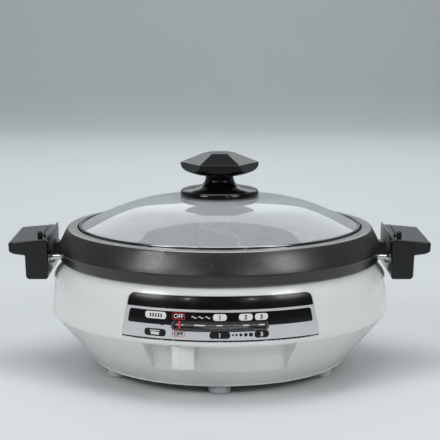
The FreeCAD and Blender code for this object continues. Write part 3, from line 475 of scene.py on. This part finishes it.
def decal_bar(name, z0, z1, inset, r_top, r_bot, mat, off, rows=10):
    """A bar that follows the panel's slanted ends, with rounded corners."""
    verts, faces = [], []
    zs = []
    for k in range(9):
        zs.append(z0 + r_bot * (1 - math.cos(math.radians(90 * k / 8))))
        zs.append(z1 - r_top * (1 - math.cos(math.radians(90 * k / 8))))
    zs += list(np.linspace(z0 + r_bot, z1 - r_top, rows))
    zs = sorted(set(round(z, 4) for z in zs))
    cols = 130
    for z in zs:
        h = half(z) - inset
        c = 0.0
        if z < z0 + r_bot:
            c = r_bot - math.sqrt(max(r_bot ** 2 - (z0 + r_bot - z) ** 2, 0))
        elif z > z1 - r_top:
            c = r_top - math.sqrt(max(r_top ** 2 - (z - z1 + r_top) ** 2, 0))
        h -= c
        for i in range(cols + 1):
            verts.append(on_wall(PCX - h + 2 * h * i / cols, z, off))
    w = cols + 1
    for j in range(len(zs) - 1):
        for i in range(cols):
            faces.append((j * w + i, j * w + i + 1, (j + 1) * w + i + 1, (j + 1) * w + i))
    return make(name, verts, faces, mat)


def decal_text(name, body, cx, cz, height, mat, off, width=None, bold=0.0):
    cu = bpy.data.curves.new(name + "_c", "FONT")
    cu.body = body
    cu.size = 10.0
    cu.align_x = "CENTER"
    cu.align_y = "CENTER"
    cu.offset = bold
    t = bpy.data.objects.new(name + "_t", cu)
    bpy.context.scene.collection.objects.link(t)
    bpy.context.view_layer.update()
    me = bpy.data.meshes.new_from_object(t)
    bpy.data.objects.remove(t)
    bm = bmesh.new()
    bm.from_mesh(me)
    xs = [v.co.x for v in bm.verts]
    ys = [v.co.y for v in bm.verts]
    sx, sy = (min(xs) + max(xs)) / 2, (min(ys) + max(ys)) / 2
    k = height / (max(ys) - min(ys))
    kx = k if width is None else width / (max(xs) - min(xs))
    for v in bm.verts:
        v.co = Vector(((v.co.x - sx) * kx + cx, (v.co.y - sy) * k + cz, 0))
    x = cx - 30
    while x < cx + 30:
        geom = bm.verts[:] + bm.edges[:] + bm.faces[:]
        bmesh.ops.bisect_plane(bm, geom=geom, plane_co=(x, 0, 0), plane_no=(1, 0, 0), dist=1e-6)
        x += 1.5
    bmesh.ops.triangulate(bm, faces=bm.faces[:])
    verts = [on_wall(v.co.x, v.co.y, off) for v in bm.verts]
    bm.verts.index_update()
    faces = [[v.index for v in f.verts] for f in bm.faces]
    bm.free()
    bpy.data.meshes.remove(me)
    bpy.data.curves.remove(cu)
    return make(name, verts, faces, mat)


O1, O2, O3 = 0.05, 0.08, 0.11
decal_bar("print_top_bar", 110.7, 125.0, 0.5, 6.4, 0.3, "print_black", O1)


def bar_with_gap(z0=92.8, z1=108.0, inset=4.2, x_l=-54.2, x_r=55.0, zc=93.1, rr=6.4, top_z=99.5):
    """The middle bar: solid above the slot, and on either side of it below."""
    n = 150
    verts, faces = [], []
    zs = [top_z, 101.5, 103.5, 105.2] + [z1 - 2.6 * (1 - math.cos(math.radians(90 * k / 8))) for k in range(8, -1, -1)]
    for z in zs:
        c = 2.6 - math.sqrt(max(2.6 ** 2 - (z - z1 + 2.6) ** 2, 0)) if z > z1 - 2.6 else 0
        h = half(z) - inset - c
        verts += [on_wall(PCX + (-1 + 2 * i / n) * h, z, O1) for i in range(n + 1)]
    w = n + 1
    for j in range(len(zs) - 1):
        faces += [(j * w + i, j * w + i + 1, (j + 1) * w + i + 1, (j + 1) * w + i) for i in range(n)]
    make("print_mid_bar_top", verts, faces, "print_black")
    for side in (-1, 1):
        verts, faces = [], []
        zs = [z0 + 2.4 * (1 - math.cos(math.radians(90 * k / 8))) for k in range(9)] + [96.0, 97.2, 98.2, 99.0, top_z]
        m_ = 40
        for z in zs:
            c = 2.4 - math.sqrt(max(2.4 ** 2 - (z0 + 2.4 - z) ** 2, 0)) if z < z0 + 2.4 else 0
            h = PCX + side * (half(z) - inset - c)
            xe, dz = (x_l if side < 0 else x_r), z - zc
            xi = xe + side * (-rr + math.sqrt(max(rr * rr - dz * dz, 0.0)))
            verts += [on_wall(xi + (h - xi) * i / m_, z, O1) for i in range(m_ + 1)]
        w = m_ + 1
        for j in range(len(zs) - 1):
            faces += [(j * w + i, j * w + i + 1, (j + 1) * w + i + 1, (j + 1) * w + i) for i in range(m_)]
        make("print_mid_bar_" + ("left" if side < 0 else "right"), verts, faces, "print_black")


bar_with_gap()
decal_ring("print_slot_surround", -54.2, 55.0, 86.7, 99.5, 6.38, 1.25, "print_black", O1 + 0.01)
decal_bar("print_bottom_line", 75.45, 77.2, 0.6, 0.5, 0.8, "print_black", O1, rows=3)

# upper row
decal_cols("print_pill_grill", rr_cols(-82.6, -59.0, 98.9, 106.7, 3.0), "print_white", O2)
for k in range(5):
    x = -77.4 + k * 3.0
    decal_cols("print_grill_mark_%d" % k, rr_cols(x, x + 1.5, 100.6, 105.0, 0.6, 0.5), "print_black", O3)
decal_ring("print_red_box_top", -52.4, -38.0, 99.3, 106.7, 2.4, 0.6, "print_red", O2)
decal_text("print_off_top", "OFF", -45.2, 103.0, 4.6, "print_white", O2, 10.6, 0.12)
for k in range(3):
    # three small heat waves
    x = -31.0 + k * 7.6
    cols = [(x + t * 5.6, 102.5 + 0.95 * math.sin(t * 2 * math.pi) - 0.5, 102.5 + 0.95 * math.sin(t * 2 * math.pi) + 0.5) for t in np.linspace(0, 1, 15)]
    decal_cols("print_warm_mark_%d" % k, cols, "print_white", O2, 1)
for i, (a, b) in enumerate([(-7.2, 8.0), (21.3, 36.6), (39.0, 53.5)]):
    decal_cols("print_pill_%d" % (i + 1), rr_cols(a, b, 99.0, 106.4, 3.3), "print_white", O2)
    decal_text("print_number_%d" % (i + 1), str(i + 1), (a + b) / 2, 102.7, 5.0, "print_black", O3, None, 0.35)
# lower row
decal_cols("print_pill_pot", rr_cols(-83.6, -59.6, 79.7, 87.9, 3.2), "print_black", O2)
decal_cols("print_pot_icon_body", rr_cols(-76.6, -67.0, 81.3, 84.4, 1.2, 0.6), "print_white", O3)
decal_cols("print_pot_icon_lid", rr_cols(-77.6, -66.0, 85.3, 86.2, 0.4, 0.6), "print_white", O3)
decal_ring("print_red_box_low", -52.4, -38.0, 80.1, 87.6, 2.4, 0.6, "print_red", O2)
decal_text("print_off_low", "OFF", -45.2, 83.85, 4.6, "print_black", O2, 10.6, 0.30)
decal_cols("print_pill_low", rr_cols(-11.2, 11.8, 79.2, 86.9, 3.2), "print_black", O2)
decal_text("print_number_low", "1", 0.2, 83.05, 4.8, "print_white", O3, None, 0.30)
for k, (x, s) in enumerate([(13.6, 2.0), (17.5, 2.4), (22.0, 3.0), (27.2, 3.5), (32.6, 4.1)]):
    decal_cols("print_square_%d" % k, rr_cols(x, x + s, 83.3 - s / 2, 83.3 + s / 2, 0.15, 0.5), "print_black", O2, 1)
decal_cols("print_pill_high", rr_cols(38.6, 54.6, 79.5, 87.5, 3.3), "print_black", O2)
decal_text("print_number_high", "5", 46.6, 83.5, 4.8, "print_white", O3, None, 0.30)


# ticks on the window plate, which lies behind the slot
def on_window(x, z, off):
    return on_wall(x, z, off - 3.1)


for k, (a, b) in enumerate([(-47.7, -40.0), (-27.9, -15.8), (-3.2, 3.4), (25.9, 32.5), (43.5, 50.1)]):
    decal_cols("window_tick_%d" % k, rr_cols(a, b, 92.6, 94.1, 0.25, 0.8), "print_white", 0.10, 1, wall=on_window)
decal_cols("window_line", [(x, 93.1, 93.6) for x in np.linspace(-50.5, 51.0, 90)], "print_grey", 0.05, 1, wall=on_window)

# ------------------------------------------------------------------ floor and light
fl = bpy.data.meshes.new("floor")
verts = []
faces = []
prof = [(-4.0, 0.0), (0.0, 0.0), (3.2, 0.0)] + [(3.2 + 1.6 * math.sin(math.radians(a)), 1.6 * (1 - math.cos(math.radians(a)))) for a in range(10, 91, 10)] + [(4.8, 3.4)]
for y, z in prof:
    verts += [(-6, y, z), (6, y, z)]
for i in range(len(prof) - 1):
    faces.append((2 * i, 2 * i + 1, 2 * i + 3, 2 * i + 2))
fl.from_pydata(verts, [], faces)
fl.polygons.foreach_set("use_smooth", [True] * len(fl.polygons))
floor = bpy.data.objects.new("floor", fl)
bpy.context.scene.collection.objects.link(floor)
m = M("floor_paper", (0.60, 0.625, 0.635), 0.85)
m.color_var(0.012, 2.0).grain(300.0, 0.05, 0.0005)
fl.materials.append(m.m)

w = bpy.data.worlds.new("studio")
bpy.context.scene.world = w
w.use_nodes = True
wt = w.node_tree
bg = next(n for n in wt.nodes if n.type == "BACKGROUND")
bg.inputs["Strength"].default_value = 1.0
# a studio that is dim in front and overhead, and lighter towards the back wall
tc = wt.nodes.new("ShaderNodeTexCoord")
sp = wt.nodes.new("ShaderNodeSeparateXYZ")
wt.links.new(tc.outputs["Generated"], sp.inputs[0])
mr = wt.nodes.new("ShaderNodeMapRange")
mr.interpolation_type = "SMOOTHSTEP"
mr.inputs["From Min"].default_value = -0.5
mr.inputs["From Max"].default_value = 0.9
mr.inputs["To Min"].default_value = 0.0
mr.inputs["To Max"].default_value = 1.0
wt.links.new(sp.outputs["Y"], mr.inputs["Value"])
rp = wt.nodes.new("ShaderNodeValToRGB")
rp.color_ramp.elements[0].color = (0.055, 0.058, 0.062, 1)
rp.color_ramp.elements[1].color = (0.30, 0.325, 0.335, 1)
wt.links.new(mr.outputs["Result"], rp.inputs["Fac"])
wt.links.new(rp.outputs["Color"], bg.inputs["Color"])


def area(name, loc, target, size, energy, color=(1, 1, 1), spread=180):
    d = bpy.data.lights.new(name, "AREA")
    d.shape = "RECTANGLE"
    d.size, d.size_y = size
    d.energy = energy
    d.color = color
    d.spread = math.radians(spread)
    o = bpy.data.objects.new(name, d)
    o.location = loc
    o.rotation_euler = (Vector(target) - Vector(loc)).to_track_quat("-Z", "Y").to_euler()
    o.visible_camera = False
    bpy.context.scene.collection.objects.link(o)
    return o


area("top", (0.0, -0.15, 2.0), (0, 0.0, 0.1), (2.0, 1.3), 26, (0.98, 1.0, 0.99))
area("key_left", (-1.45, -1.25, 1.35), (0, 0, 0.12), (0.7, 0.9), 17)
area("key_right", (1.45, -1.25, 1.35), (0, 0, 0.12), (0.7, 0.9), 15)
area("back", (0.0, 2.6, 1.9), (0, 0, 0.25), (4.0, 1.8), 22, (0.97, 1.0, 1.0))
area("backdrop", (0.0, 1.2, 2.6), (0, 4.4, 1.0), (4.0, 0.6), 60, (0.93, 1.0, 1.0))
area("spark_left", (-0.62, -1.55, 0.95), (0, 0, 0.2), (0.09, 0.09), 1.3)
area("spark_right", (0.62, -1.55, 0.95), (0, 0, 0.2), (0.09, 0.09), 1.3)

for name, o in N.items():
    smooth(o)

# a copy of the sensor's spring mesh is drawn in place of the CAD part, which is hidden
src = N["sensor_spring"]
coil = bpy.data.objects.new("sensor_spring_coil", src.data.copy())
bpy.context.scene.collection.objects.link(coil)
coil.matrix_world = src.matrix_world.copy()
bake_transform(coil)
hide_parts("sensor_spring")
